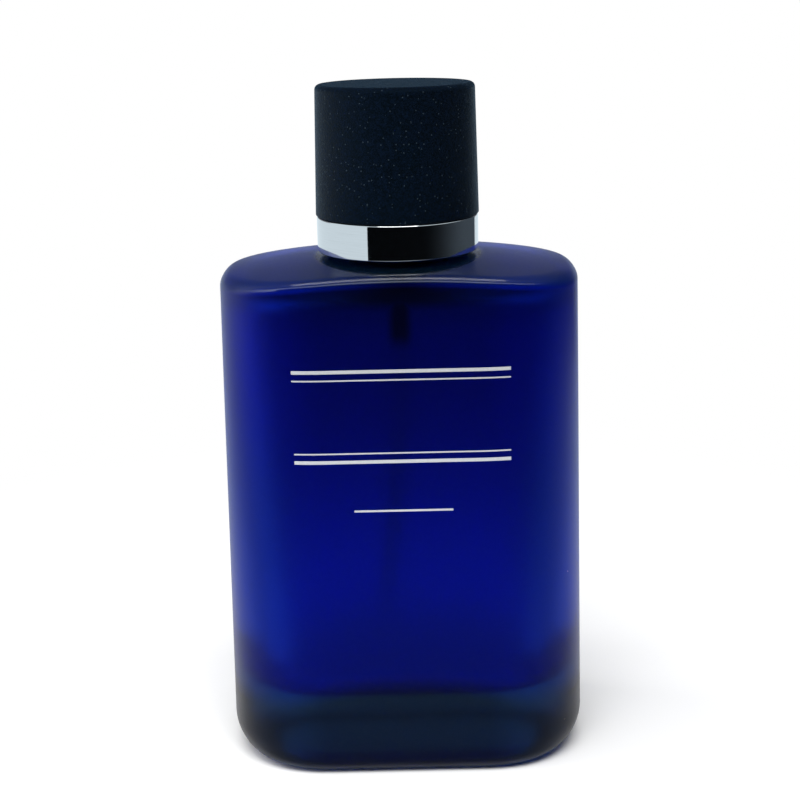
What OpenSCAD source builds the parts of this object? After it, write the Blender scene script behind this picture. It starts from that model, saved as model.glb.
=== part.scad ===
// Spray flask with a crimped fine-mist pump, a polished collar and a lift-off cap.
// Millimetres, +Z up. Origin: middle of the flat foot. The nozzle points to -Y.

/* [Flask] */
// Width of the glass at the shoulder
flask_w = 63; // [56:0.5:72]
// Depth of the glass, front to back
flask_d = 36; // [32:0.5:42]
// How much wider the glass is at its foot
foot_gain = 2.3; // [0:0.1:4]
// Height of the shoulder at the two ends of the flask
shoulder_h = 89.9; // [78:0.1:100]
// Rise of the shoulder from its ends to the neck
shoulder_arch = 2.5; // [1.5:0.1:4]
// Fall of the shoulder from the neck to the front and back
shoulder_crown = 1.3; // [0.6:0.1:2.5]
// Radius of the edge between shoulder and walls
shoulder_edge_r = 2.4; // [1.5:0.1:3.2]
// Length of each rounded end, along the width
end_len = 19.7; // [14:0.1:24]
// Squareness of the rounded ends, where 2 is an ellipse
end_power = 2.6; // [2:0.05:3.2]
// Radius of the heel at the two ends
end_heel_r = 6.6; // [4:0.1:9]
// Radius of the heel along the front and back
face_heel_r = 2.6; // [1.5:0.1:4]
// Thickness of the glass wall
glass_t = 3.7; // [2.8:0.1:4.6]
// Thickness of the glass foot
foot_t = 13; // [8:0.5:18]
// Thickness of the glass under the shoulder
shoulder_t = 4.2; // [3:0.1:5.5]
// Depth of the hollow under the foot
punt_depth = 0.8; // [0.4:0.1:1.4]
// Width of the ring that the flask stands on
foot_ring = 4; // [2.5:0.1:6]

/* [Neck] */
// Diameter of the bead that the pump is crimped under
bead_d = 15; // [14:0.1:16]
// Height of the bead
bead_h = 2.6; // [2:0.1:3]
// Diameter of the neck under the bead
neck_d = 13.3; // [12.5:0.1:13.6]
// Height of the neck above the shoulder
neck_h = 4.8; // [4.6:0.1:6]
// Diameter of the hole through the neck
neck_bore_d = 9.7; // [9.4:0.1:10]

/* [Crimp] */
// Thickness of the neck gasket
gasket_t = 0.9; // [0.6:0.1:1.4]
// Thickness of the aluminium of the crimped cup
ferrule_t = 0.4; // [0.3:0.05:0.5]
// Height of the rim that is rolled in under the bead
crimp_h = 0.7; // [0.5:0.1:0.9]

/* [Pump] */
// Stroke of the pump
stroke = 3.4; // [2.5:0.1:3.8]
// Diameter of the pump cylinder
chamber_d = 6.4; // [6:0.1:6.6]
// Height of the pump cylinder, from its floor to the stem gasket
chamber_h = 12; // [11:0.1:14]
// Wall of the pump cylinder
chamber_t = 1; // [0.8:0.05:1.2]
// Thickness of the flange that hangs the pump in the neck
flange_t = 1.1; // [0.9:0.1:1.6]
// How far the seat of the stem gasket lies below the top of the glass
seal_drop = 2.6; // [2.2:0.1:3]
// Thickness of the stem gasket
stem_gasket_t = 0.8; // [0.6:0.1:1.2]
// Thickness of the flange of the turret
turret_t = 0.8; // [0.6:0.1:1.2]
// Diameter of the turret where it stands out of the crimped cup
turret_d = 7.6; // [7.2:0.1:8]
// Height of the turret above the crimped cup
turret_boss_h = 1; // [0.6:0.1:1.4]
// Diameter of the stem
stem_d = 3.2; // [3:0.05:3.4]
// Diameter of the passage in the stem
stem_bore_d = 1.4; // [1.2:0.05:1.5]
// Thickness of the stop flange of the stem
stem_flange_t = 0.75; // [0.6:0.05:1]
// Room for the stem spring, between stem flange and piston
stem_spring_h = 1.6; // [1.5:0.05:2.2]
// Height of the piston
piston_h = 2.6; // [2.2:0.1:3]
// How far the piston slides up to open its port
port_travel = 0.4; // [0.3:0.05:0.4]
// Wire of the return spring
return_wire_d = 0.45; // [0.35:0.05:0.5]
// Wire of the stem spring
stem_wire_d = 0.3; // [0.25:0.05:0.3]
// Diameter of the inlet ball
ball_d = 2.4; // [2:0.1:2.5]
// How far the inlet ball rises
ball_lift = 0.7; // [0.4:0.1:0.8]
// Outside diameter of the dip tube
tube_d = 1.9; // [1.6:0.05:2.2]
// Bore of the dip tube
tube_bore_d = 1.2; // [0.8:0.05:1.3]
// Depth of the socket that holds the dip tube
tube_socket_h = 4; // [3:0.1:6]
// Sideways set of the foot of the dip tube
tube_set = 5; // [3:0.1:8]
// Height of the foot of the dip tube above the glass foot
tube_foot_gap = 1.5; // [1:0.1:4]

/* [Collar] */
// Diameter of the polished collar ring
collar_d = 28.4; // [27:0.1:29.5]
// Height of the collar ring that stays in sight
collar_h = 6.2; // [5:0.1:7.5]
// Gap between the collar and the crown of the shoulder
collar_gap = 0.4; // [0.3:0.05:1]
// Diameter of the plug that the cap fits over
plug_d = 22.4; // [21.6:0.1:22.8]
// Height of the plug above the collar ring
plug_h = 6.3; // [6:0.1:7.2]
// Thickness of the metal of the collar
collar_t = 0.5; // [0.35:0.05:0.6]
// Wall of the plastic insert of the collar
insert_t = 1; // [0.8:0.05:1.2]
// Number of ribs in the collar insert
insert_ribs = 8; // [6:1:12]

/* [Button] */
// Diameter of the button with its sleeve
button_d = 13; // [12.4:0.1:13.2]
// Height of the button
button_h = 9.6; // [9:0.1:10.5]
// Thickness of the metal sleeve
sleeve_t = 0.4; // [0.3:0.05:0.5]
// Depth that the stem reaches into the button
stem_grip = 3.6; // [3:0.1:4.2]
// Depth of the finger dish
dish_depth = 0.7; // [0.4:0.05:1]
// Diameter of the nozzle insert
nozzle_d = 4; // [3.4:0.1:4.2]
// Length of the nozzle insert
nozzle_len = 2.6; // [2:0.1:3]
// Diameter of the spray hole
spray_hole_d = 0.4; // [0.3:0.05:0.6]

/* [Cap] */
// Diameter of the cap at its open edge
cap_d = 28.7; // [28:0.1:30]
// Diameter of the cap at its top
cap_top_d = 27.7; // [27.4:0.1:28.6]
// Height of the cap
cap_h = 22.6; // [22:0.1:26]
// Radius of the top edge of the cap
cap_edge_r = 0.9; // [0.5:0.05:1.5]
// Wall of the cap
cap_t = 1.2; // [1:0.05:1.3]
// Thickness of the roof of the cap
cap_roof_t = 1.6; // [1.2:0.1:2.2]
// Wall of the cap liner
liner_t = 0.9; // [0.7:0.05:0.9]
// Thickness of the metal slug in the cap
weight_t = 2.6; // [1.5:0.1:2.8]
// Number of grip ribs in the liner
grip_ribs = 12; // [6:1:24]

/* [Fits] */
// Gap between the lower edge of the cap and the collar ring
cap_seat_gap = 0.1; // [0.05:0.05:0.3]
// Radial gap between grip ribs and collar plug
grip_fit = 0.1; // [0.05:0.01:0.15]
// Radial gap between parts that are pressed or snapped together
snap_fit = 0.05; // [0.03:0.01:0.06]
// Radial gap round parts that slide or turn
slide_fit = 0.05; // [0.03:0.01:0.08]
// Radial gap between button and collar
button_gap = 0.4; // [0.3:0.05:0.6]
// Gap left between button and crimped cup at the end of the stroke
end_gap = 0.4; // [0.3:0.05:0.6]

/* [Hidden] */

$fn = 96;
eps = 0.01;
// How far the skins of the flask run on inside the round neck
tuck = 0.3;
// How far the shoulder flares up to meet the neck
neck_flare = 0.8;
outer_points = 34;
inner_points = 26;
face_points = 5;

// Heights of the flask and of what is stacked on its neck
crest_z = shoulder_h + shoulder_arch;
finish_z = crest_z + neck_h;
bead_low_z = finish_z - bead_h;
flange_z = finish_z + gasket_t;
turret_z = flange_z + flange_t;
plate_z = turret_z + turret_t;
ferrule_top_z = plate_z + ferrule_t;
boss_top_z = ferrule_top_z + turret_boss_h;

// Neck and crimp
bead_r = bead_d / 2;
neck_r = neck_d / 2;
neck_bore_r = neck_bore_d / 2;
skirt_r = bead_r + 2 * snap_fit;
crimp_in = bead_r - neck_r - 3 * snap_fit;
boss_r = turret_d / 2;
finish_edge = 0.5;

// Pump, measured down from the stem gasket
chamber_r = chamber_d / 2;
seat_r = chamber_r + 0.5;
shell_r = chamber_r + chamber_t;
collar_shell_r = seat_r + 0.8;
stem_gasket_z = finish_z - seal_drop;
chamber_floor_z = stem_gasket_z - chamber_h;
stem_r = stem_d / 2;
stem_bore_r = stem_bore_d / 2;
stem_stop_z = stem_gasket_z - slide_fit;
stem_flange_z = stem_stop_z - stem_flange_t;
stem_flange_r = chamber_r - 0.6;
stem_nose_z = stem_flange_z - stem_spring_h + port_travel + 0.2;
stem_nose_r = stem_r - 0.15;
piston_top_z = stem_flange_z - stem_spring_h;
piston_low_z = piston_top_z - piston_h;
piston_sleeve_r = chamber_r - 1.2;
needle_shaft_r = stem_bore_r - snap_fit;
port_r = needle_shaft_r + slide_fit;
port_cone = 0.5;
disc_top_z = piston_low_z - 0.05;
disc_t = 0.5;
disc_r = chamber_r - 0.5;
disc_low_z = disc_top_z - disc_t;
spring_r = chamber_r - 1;
spigot_r = spring_r - return_wire_d / 2 - 0.25;
spigot_h = 0.8;
return_coils = 5.5;
stem_coils = 3.4;

// Inlet
ball_r = ball_d / 2;
cage_r = ball_r + 0.3;
cage_lip_t = 0.35;
cage_lip_r = ball_r - 0.15;
inlet_r = ball_r / 2;
ball_rest = 0.04;
cage_floor_z = chamber_floor_z - cage_lip_t - sqrt(ball_r * ball_r - cage_lip_r * cage_lip_r)
    - ball_lift - 0.2 - (ball_r * sqrt(2) - cage_r) - ball_rest;
ball_z = cage_floor_z - cage_r + ball_r * sqrt(2) + ball_rest;
inlet_z = cage_floor_z - (cage_r - inlet_r);
tube_top_z = inlet_z - 0.5;
tail_z = tube_top_z - tube_socket_h;
tube_r = tube_d / 2;
tail_r = tube_r + 0.95;

// Dip tube: one long arc from its socket to its foot
tube_foot_z = foot_t + tube_foot_gap;
tube_drop = tube_top_z - tube_foot_z;
tube_arc_r = (tube_drop * tube_drop + tube_set * tube_set) / (2 * tube_set);
tube_arc_a = asin(tube_drop / tube_arc_r);

// Collar
collar_r = collar_d / 2;
plug_r = plug_d / 2;
collar_z = crest_z + collar_gap;
collar_step_z = collar_z + collar_h;
plug_top_z = collar_step_z + plug_h;
button_r = button_d / 2;
collar_hole_r = button_r + button_gap;
insert_skirt_r = collar_r - collar_t - snap_fit;
insert_plug_r = plug_r - collar_t - snap_fit;
sleeve_in_r = skirt_r + ferrule_t + snap_fit;

// Button
button_z = ferrule_top_z + end_gap + stroke;
button_top_z = button_z + button_h;
button_skirt_r = boss_r + 0.9;
socket_z = boss_top_z + stroke + end_gap;
stem_top_z = socket_z + stem_grip;
nozzle_z = button_top_z - dish_depth - nozzle_d / 2 - 0.5;
nozzle_r = nozzle_d / 2;
core_r = button_r - sleeve_t - snap_fit;
post_r = nozzle_r / 2;
nozzle_wall = 0.6;
nozzle_face_y = -button_r + 0.25;
nozzle_back_y = nozzle_face_y + nozzle_len;

// Cap
cap_z = collar_step_z + cap_seat_gap;
cap_top_z = cap_z + cap_h;
cap_roof_z = cap_top_z - cap_roof_t;
weight_top_z = cap_roof_z - slide_fit;
liner_top_z = weight_top_z - weight_t;
liner_roof_t = 0.9;
liner_z = cap_z + 0.5;

// ---- shared shapes ----

// Inside radius of the cap shell at a height, which narrows with the draft of the cap
function shell_in(z) = cap_d / 2 - cap_t - (cap_d - cap_top_d) / 2 * (z - cap_z) / (cap_roof_z - cap_z);

// Ring with square edges between two heights
module tube(inner_r, outer_r, low, high)
    rotate_extrude() translate([inner_r, low]) square([outer_r - inner_r, high - low]);

// Points of a round edge, from angle a to angle b about a centre
function edge(x, y, r, a, b, steps = 6) =
    [for (i = [0:steps]) let (t = a + (b - a) * i / steps) [x + r * cos(t), y + r * sin(t)]];

function middle(points) = [for (i = [0:2]) [for (p = points) p[i]] * [for (p = points) 1] / len(points)];

// Solid skin over rings of points, each ring anticlockwise from above and the rings upwards
module skin(rings) {
    n = len(rings[0]);
    m = len(rings);
    last = (m - 1) * n;
    sides = [for (j = [0:m - 2], k = [0:n - 1]) let (a = j * n + k, b = j * n + (k + 1) % n)
        each [[a, a + n, b + n], [a, b + n, b]]];
    ends = [for (k = [0:n - 1]) let (b = (k + 1) % n) each [[k, b, m * n], [last + b, last + k, m * n + 1]]];
    polyhedron(concat([for (r = rings) each r], [middle(rings[0]), middle(rings[m - 1])]),
        concat(sides, ends));
}

// Coil spring with closed ends, standing on low
module coil(low, height, coil_r, wire_r, turns, sides) {
    per_turn = 16;
    steps = ceil(turns * per_turn);
    closed = 2.2 * wire_r;
    pitch = (height - 2 * wire_r - 2 * closed) / (turns - 2);
    function rise(t) = t < 1 ? t * closed
        : t < turns - 1 ? closed + (t - 1) * pitch : closed + (turns - 2) * pitch + (t - turns + 1) * closed;
    wire = [for (i = [0:steps]) let (t = turns * i / steps, a = 360 * t)
        [for (k = [0:sides - 1]) let (w = 360 * k / sides, r = coil_r + wire_r * cos(w))
            [r * cos(a), r * sin(a), low + wire_r + rise(t) - wire_r * sin(w)]]];
    skin(wire);
}

// ---- glass ----

// Outline of the flask: two squarish elliptic ends of n steps each, joined by straight faces
function ring_at(n, half_w, half_d, len) =
    let (e = 2 / end_power, l = min(len, half_w), straight = half_w - l)
    [for (side = [1, -1]) each concat(
        [for (i = [0:n]) let (t = 180 * (i / n - 0.5), s = sin(t))
            [side * (straight + l * pow(max(0, cos(t)), e)), side * half_d * sign(s) * pow(abs(s), e)]],
        [for (j = [1:face_points]) [side * straight * (1 - 2 * j / (face_points + 1)), side * half_d]])];

// Circle whose points lie in the same directions as those of a ring
function round_ring(ring, r) = [for (p = ring) let (a = atan2(p[1], p[0])) [r * cos(a), r * sin(a)]];

// Height of the shoulder over a point, arched along the width and crowned along the depth
function shoulder_at(p) = crest_z - shoulder_arch * pow(2 * p[0] / flask_w, 2)
    - shoulder_crown * pow(2 * p[1] / flask_d, 2);

function widened(z) = foot_gain / 2 * (1 - z / shoulder_h);
function heel_in(r, z) = z >= r ? 0 : r - sqrt(r * r - (r - z) * (r - z));
function flat(points, z) = [for (p = points) [p[0], p[1], z]];
function mix(p, q, k) = [for (i = [0:len(p) - 1]) p[i] * (1 - k) + q[i] * k];

// Ring of the outer wall at a height, drawn in at the heel
function wall_ring(z) = let (a = heel_in(end_heel_r, z), b = heel_in(face_heel_r, z))
    flat(ring_at(outer_points, flask_w / 2 + widened(z) - a, flask_d / 2 - b, end_len - a), z);

// Ring of the round edge between wall and shoulder, at angle a of its arc
function rim_ring(n, inset, r, drop, a) =
    let (i = inset + r * (1 - cos(a)))
    [for (p = ring_at(n, flask_w / 2 - i, flask_d / 2 - i, end_len - i))
        [p[0], p[1], shoulder_at(p) - drop - r * (1 - sin(a))]];

// Ring on the shoulder, from the rim at 0 to the neck at 1
function crown_ring(n, inset, drop, neck, lift, k) =
    let (rim = ring_at(n, flask_w / 2 - inset, flask_d / 2 - inset, end_len - inset),
        round = round_ring(rim, neck))
    [for (j = [0:len(rim) - 1]) let (p = mix(rim[j], round[j], k))
        [p[0], p[1], shoulder_at(p) - drop + lift * pow(max(0, 3 * k - 2), 2)]];

module outer_skin() {
    function foot_at(in) = ring_at(outer_points, flask_w / 2 + widened(0) - end_heel_r - in,
        flask_d / 2 - face_heel_r - in, end_len - end_heel_r - in);
    foot = foot_at(0);
    skin(concat(
        [flat(foot_at(foot_ring + punt_depth * 3), punt_depth), flat(foot_at(foot_ring), 0), flat(foot, 0)],
        [for (i = [1:8]) wall_ring(end_heel_r * (1 - cos(90 * i / 8)))],
        [wall_ring(shoulder_h / 2)],
        [for (a = [0:18:90]) rim_ring(outer_points, 0, shoulder_edge_r, 0, a)],
        [for (k = [1:9]) crown_ring(outer_points, shoulder_edge_r, 0, neck_r - tuck, neck_flare, k / 9)],
        [flat(round_ring(foot, neck_r - 2 * tuck), crest_z + neck_flare)]));
}

// The hollow for the liquid: round floor, straight walls, round shoulder into the neck
module inner_skin() {
    floor_r = 4;
    shoulder_r = 3;
    half_w = flask_w / 2 - glass_t;
    half_d = flask_d / 2 - glass_t;
    len = end_len - glass_t;
    floor_rings = [for (a = [0:18:90]) let (i = floor_r * (1 - sin(a)))
        flat(ring_at(inner_points, half_w - i, half_d - i, len - i), foot_t + floor_r * (1 - cos(a)))];
    skin(concat(floor_rings,
        [for (a = [0:18:90]) rim_ring(inner_points, glass_t, shoulder_r, shoulder_t, a)],
        [for (k = [1:6]) crown_ring(inner_points, glass_t + shoulder_r, shoulder_t,
            neck_bore_r - tuck, neck_flare, k / 6)]));
}

module bottle_glass() {
    color([0.03, 0.06, 0.36, 0.6])
    difference() {
        union() {
            outer_skin();
            rotate_extrude() polygon(concat(
                [[0, crest_z - shoulder_t / 2], [neck_r, crest_z - shoulder_t / 2],
                 [neck_r, bead_low_z - (bead_r - neck_r)], [bead_r, bead_low_z]],
                edge(bead_r - finish_edge, finish_z - finish_edge, finish_edge, 0, 90),
                [[0, finish_z]]));
        }
        inner_skin();
        translate([0, 0, crest_z - shoulder_t - 1]) cylinder(r = neck_bore_r, h = neck_h + shoulder_t + 2);
    }
}

// ---- crimp and pump, fixed to the neck ----

module neck_gasket()
    color("dimgray") tube(neck_bore_r, bead_r - finish_edge, finish_z, flange_z);

module crimp_ferrule() {
    skirt_out = skirt_r + ferrule_t;
    tuck_z = bead_low_z - crimp_in;
    color("silver") rotate_extrude() polygon(concat(
        [[boss_r + snap_fit, plate_z], [skirt_r, plate_z], [skirt_r, bead_low_z],
         [skirt_r - crimp_in, tuck_z], [skirt_r - crimp_in, tuck_z - crimp_h],
         [skirt_out - crimp_in, tuck_z - crimp_h], [skirt_out - crimp_in, tuck_z],
         [skirt_out, bead_low_z]],
        edge(skirt_out - 2 * ferrule_t, ferrule_top_z - 2 * ferrule_t, 2 * ferrule_t, 0, 90),
        [[boss_r + snap_fit, ferrule_top_z]]));
}

module pump_housing() {
    flange_r = bead_r - 0.6;
    shell_low_z = chamber_floor_z - 0.8;
    color("whitesmoke")
    difference() {
        union() {
            rotate_extrude() polygon([
                [0, tail_z], [tail_r - 0.3, tail_z], [tail_r, tail_z + 0.6], [tail_r, inlet_z],
                [cage_r + 0.9, inlet_z + 0.8], [cage_r + 0.9, shell_low_z - 0.8], [shell_r, shell_low_z],
                [shell_r, stem_gasket_z - 1], [collar_shell_r, stem_gasket_z - 0.6],
                [collar_shell_r, flange_z], [flange_r, flange_z], [flange_r, turret_z], [0, turret_z]]);
            // four stiffening ribs down the shell
            for (a = [45:90:315]) rotate(a)
                translate([shell_r - 0.3, -0.3, shell_low_z + 0.2])
                    cube([0.6, 0.6, stem_gasket_z - 0.8 - shell_low_z]);
        }
        translate([0, 0, stem_gasket_z]) cylinder(r = seat_r, h = turret_z - stem_gasket_z + 1);
        translate([0, 0, chamber_floor_z]) cylinder(r = chamber_r, h = chamber_h + 1);
        translate([0, 0, chamber_floor_z - 1]) cylinder(r = cage_lip_r, h = 2);
        translate([0, 0, cage_floor_z]) cylinder(r = cage_r, h = chamber_floor_z - cage_lip_t - cage_floor_z);
        rotate_extrude() polygon([[0, inlet_z], [inlet_r, inlet_z], [cage_r, cage_floor_z + eps],
            [0, cage_floor_z + eps]]);
        translate([0, 0, tail_z]) cylinder(r = inlet_r, h = inlet_z - tail_z + eps);
        translate([0, 0, tail_z - 1]) cylinder(r = tube_r + snap_fit, h = tube_top_z - tail_z + 1);
    }
}

module pump_turret() {
    color("whitesmoke") rotate_extrude() polygon([
        [stem_r + slide_fit, stem_gasket_z + stem_gasket_t],
        [seat_r - snap_fit, stem_gasket_z + stem_gasket_t], [seat_r - snap_fit, turret_z],
        [bead_r - 0.6, turret_z], [bead_r - 0.6, plate_z], [boss_r, plate_z],
        [boss_r, boss_top_z - 0.4], [boss_r - 0.4, boss_top_z], [stem_r + 0.4, boss_top_z],
        [stem_r + slide_fit, boss_top_z - 0.35]]);
}

module stem_gasket()
    color("dimgray")
        tube(stem_r + slide_fit, seat_r - snap_fit, stem_gasket_z, stem_gasket_z + stem_gasket_t);

module inlet_ball()
    color("lightsteelblue") translate([0, 0, ball_z]) sphere(r = ball_r);

// Round rod along the arc of the dip tube, past its top by over degrees
module tube_rod(r, over) {
    sweep = tube_arc_a + over;
    translate([-tube_arc_r, 0, tube_top_z]) rotate([90, 0, 0]) rotate([0, 0, -tube_arc_a])
        rotate_extrude(angle = sweep, $fn = 720) translate([tube_arc_r, 0]) circle(r = r, $fn = 48);
}

module dip_tube() {
    cut = 10;
    color("gainsboro", 0.7)
    difference() {
        tube_rod(tube_r, 0);
        tube_rod(tube_bore_d / 2, 0.1);
        // slanted cut at the foot, so that the tube cannot seal itself against the glass
        translate([-tube_set - cut / 2, -cut / 2, tube_foot_z - cut]) rotate([0, 40, 0]) cube(cut);
    }
}

module return_spring()
    color("silver") coil(chamber_floor_z, disc_low_z - chamber_floor_z, spring_r,
        return_wire_d / 2, return_coils, 8);

// ---- what the button drives ----

module pump_stem() {
    color("ivory")
    difference() {
        rotate_extrude() polygon([
            [stem_bore_r, stem_nose_z], [stem_nose_r, stem_nose_z], [stem_nose_r, stem_flange_z],
            [stem_flange_r, stem_flange_z], [stem_flange_r, stem_stop_z - 0.2],
            [stem_flange_r - 0.2, stem_stop_z], [stem_r, stem_stop_z], [stem_r, stem_top_z - 0.4],
            [stem_r - 0.25, stem_top_z], [stem_bore_r, stem_top_z]]);
        // outlet slots across the tip
        for (a = [0, 90]) rotate(a) translate([-stem_r, -0.25, stem_top_z - 0.4]) cube([stem_d, 0.5, 1]);
    }
}

module valve_needle() {
    shaft_top = stem_flange_z + 1.2;
    color("ivory")
    difference() {
        rotate_extrude() polygon([
            [0, disc_low_z - spigot_h], [spigot_r - 0.2, disc_low_z - spigot_h],
            [spigot_r, disc_low_z - spigot_h + 0.2], [spigot_r, disc_low_z], [disc_r, disc_low_z],
            [disc_r, disc_top_z - 0.15], [disc_r - 0.15, disc_top_z],
            [needle_shaft_r + port_cone, disc_top_z],
            [needle_shaft_r, disc_top_z + port_cone], [needle_shaft_r, shaft_top - 0.2],
            [needle_shaft_r - 0.2, shaft_top], [0, shaft_top]]);
        // two flats that let the liquid past the shaft
        for (s = [-1, 1]) translate([s * (needle_shaft_r + 0.35) - 0.5, -1, piston_low_z + 1])
            cube([1, 2, shaft_top]);
        // flow notches in the disc
        for (a = [0:60:300])
            rotate(a) translate([disc_r, 0, disc_low_z - eps]) cylinder(r = 0.35, h = disc_t + 1);
    }
}

module stem_spring()
    color("silver") coil(piston_top_z, stem_spring_h, stem_nose_r + stem_wire_d / 2 + 0.2,
        stem_wire_d / 2, stem_coils, 6);

module pump_piston() {
    lip_r = chamber_r - slide_fit;
    web_z = piston_low_z + piston_h / 2 - 0.3;
    color("white") rotate_extrude() polygon([
        [port_r, piston_low_z + port_cone + slide_fit], [port_r + port_cone, piston_low_z + slide_fit],
        [piston_sleeve_r, piston_low_z + slide_fit], [piston_sleeve_r, web_z],
        [lip_r - 0.55, web_z], [lip_r - 0.4, piston_low_z + 0.2], [lip_r, piston_low_z + 0.2],
        [lip_r - 0.12, piston_low_z + 0.8], [lip_r - 0.12, piston_top_z - 0.8],
        [lip_r, piston_top_z - 0.2], [lip_r - 0.4, piston_top_z - 0.2], [lip_r - 0.55, web_z + 0.6],
        [piston_sleeve_r, web_z + 0.6], [piston_sleeve_r, piston_top_z], [port_r, piston_top_z]]);
}

// ---- collar ----

module collar_ring() {
    r = 0.35;
    color([0.82, 0.84, 0.87]) rotate_extrude() polygon(concat(
        [[collar_r - collar_t, collar_z + 0.1], [collar_r - 0.25, collar_z], [collar_r, collar_z + 0.25]],
        edge(collar_r - r, collar_step_z - r, r, 0, 90),
        [[plug_r, collar_step_z]],
        edge(plug_r - r, plug_top_z - r, r, 0, 90),
        [[collar_hole_r, plug_top_z], [collar_hole_r, plug_top_z - collar_t],
         [plug_r - collar_t, plug_top_z - collar_t], [plug_r - collar_t, collar_step_z - collar_t],
         [collar_r - collar_t, collar_step_z - collar_t]]));
}

module collar_insert() {
    roof_z = plug_top_z - collar_t;
    step_z = collar_step_z - collar_t;
    hook_r = skirt_r + ferrule_t - crimp_in + 2 * snap_fit;
    guide_r = collar_hole_r + 0.1;
    low = collar_z + 0.2;
    color([0.12, 0.12, 0.14])
    union() {
        // sleeve that snaps over the crimped cup
        rotate_extrude() polygon([
            [hook_r, low], [sleeve_in_r + insert_t, low], [sleeve_in_r + insert_t, roof_z],
            [guide_r, roof_z], [guide_r, ferrule_top_z + snap_fit], [sleeve_in_r, ferrule_top_z + snap_fit],
            [sleeve_in_r, bead_low_z], [hook_r, bead_low_z - crimp_in]]);
        tube(insert_skirt_r - insert_t, insert_skirt_r, low, step_z);
        tube(insert_plug_r - insert_t, insert_skirt_r, step_z - insert_t, step_z);
        tube(insert_plug_r - insert_t, insert_plug_r, step_z - eps, roof_z);
        tube(sleeve_in_r, insert_plug_r, roof_z - insert_t, roof_z);
        // ribs between sleeve and skirt, and between sleeve and plug
        for (i = [0:insert_ribs - 1]) rotate(360 * i / insert_ribs) {
            translate([sleeve_in_r + insert_t / 2, -0.4, low + 0.6])
                cube([insert_skirt_r - sleeve_in_r - insert_t, 0.8, step_z - low - 0.6]);
            translate([sleeve_in_r + insert_t / 2, -0.4, step_z - eps])
                cube([insert_plug_r - sleeve_in_r - insert_t, 0.8, roof_z - step_z]);
        }
    }
}

// ---- button ----

module actuator() {
    dish_r = (core_r * core_r + dish_depth * dish_depth) / (2 * dish_depth);
    channel_r = 0.6;
    feed_r = 0.4;
    feed_z = nozzle_z - (post_r + nozzle_r) / 2;
    color([0.1, 0.1, 0.12])
    difference() {
        rotate_extrude() polygon(concat([[0, button_z], [core_r, button_z]],
            edge(core_r - 0.5, button_top_z - 0.5, 0.5, 0, 90), [[0, button_top_z]]));
        translate([0, 0, button_top_z - dish_depth + dish_r]) sphere(r = dish_r, $fn = 180);
        // hollow skirt round the turret, with a tube left in it for the stem
        difference() {
            translate([0, 0, button_z - 1]) cylinder(r = button_skirt_r, h = socket_z - button_z + 3);
            translate([0, 0, socket_z]) cylinder(r = stem_r + 1.1, h = 5);
        }
        translate([0, 0, socket_z - 1]) cylinder(r = stem_r + slide_fit, h = stem_grip + 1 + slide_fit);
        // passage up from the stem and forward to the nozzle
        translate([0, 0, stem_top_z]) cylinder(r = channel_r, h = feed_z + feed_r - stem_top_z);
        translate([0, nozzle_back_y, feed_z]) rotate([-90, 0, 0]) cylinder(r = feed_r, h = -nozzle_back_y);
        // pocket for the nozzle insert, with a post left in its middle
        difference() {
            translate([0, -core_r - 1, nozzle_z]) rotate([-90, 0, 0])
                cylinder(r = nozzle_r + snap_fit, h = nozzle_back_y + 0.1 + core_r + 1);
            translate([0, nozzle_face_y + nozzle_wall + snap_fit, nozzle_z]) rotate([-90, 0, 0])
                cylinder(r = post_r, h = nozzle_len);
        }
    }
}

module actuator_sleeve() {
    color([0.82, 0.84, 0.87])
    difference() {
        rotate_extrude() polygon([
            [button_r - sleeve_t, button_z], [button_r - 0.1, button_z], [button_r, button_z + 0.1],
            [button_r, button_top_z - 0.35], [button_r - 0.25, button_top_z - 0.1],
            [button_r - sleeve_t, button_top_z - 0.1]]);
        translate([0, -button_r - 1, nozzle_z]) rotate([-90, 0, 0]) cylinder(r = nozzle_r + 0.25, h = 3);
    }
}

// Cup with the spray hole in its face, pressed over the post in the button
module nozzle_insert() {
    cup_r = post_r + snap_fit;
    swirl_r = 0.5;
    swirl_t = 0.15;
    color("white")
    translate([0, nozzle_back_y, nozzle_z]) rotate([90, 0, 0])
    difference() {
        rotate_extrude() polygon([
            [cup_r, 0], [nozzle_r - 0.15, 0], [nozzle_r, 0.15], [nozzle_r, nozzle_len - 0.15],
            [nozzle_r - 0.15, nozzle_len], [0, nozzle_len], [0, nozzle_len - nozzle_wall],
            [cup_r, nozzle_len - nozzle_wall]]);
        // flared mouth of the spray hole
        rotate_extrude() polygon([[0, nozzle_len - 0.25], [spray_hole_d / 2, nozzle_len - 0.25],
            [spray_hole_d / 2 + 0.35, nozzle_len + eps], [0, nozzle_len + eps]]);
        cylinder(r = spray_hole_d / 2, h = nozzle_len + 1, $fn = 24);
        // swirl chamber and its tangential grooves, in the face behind the hole
        translate([0, 0, nozzle_len - nozzle_wall - 1]) cylinder(r = swirl_r, h = 1 + swirl_t);
        for (a = [0:120:240]) rotate(a)
            translate([0, swirl_r - 0.2, nozzle_len - nozzle_wall - eps])
                cube([cup_r - 0.1, 0.2, swirl_t + eps]);
        // feed grooves down the inside of the cup
        for (a = [60:120:300]) rotate(a) translate([cup_r - 0.1, -0.15, -eps])
            cube([0.3, 0.3, nozzle_len - nozzle_wall + 2 * eps]);
    }
}

// ---- cap ----

module cap_shell() {
    low_r = cap_d / 2;
    top_r = cap_top_d / 2;
    lip = 0.2;
    color([0.04, 0.045, 0.06]) rotate_extrude() polygon(concat(
        [[low_r - cap_t, cap_z], [low_r - lip, cap_z], [low_r, cap_z + lip]],
        edge(top_r - cap_edge_r, cap_top_z - cap_edge_r, cap_edge_r, 0, 90),
        [[0, cap_top_z], [0, cap_roof_z], [top_r - cap_t, cap_roof_z]]));
}

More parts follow.
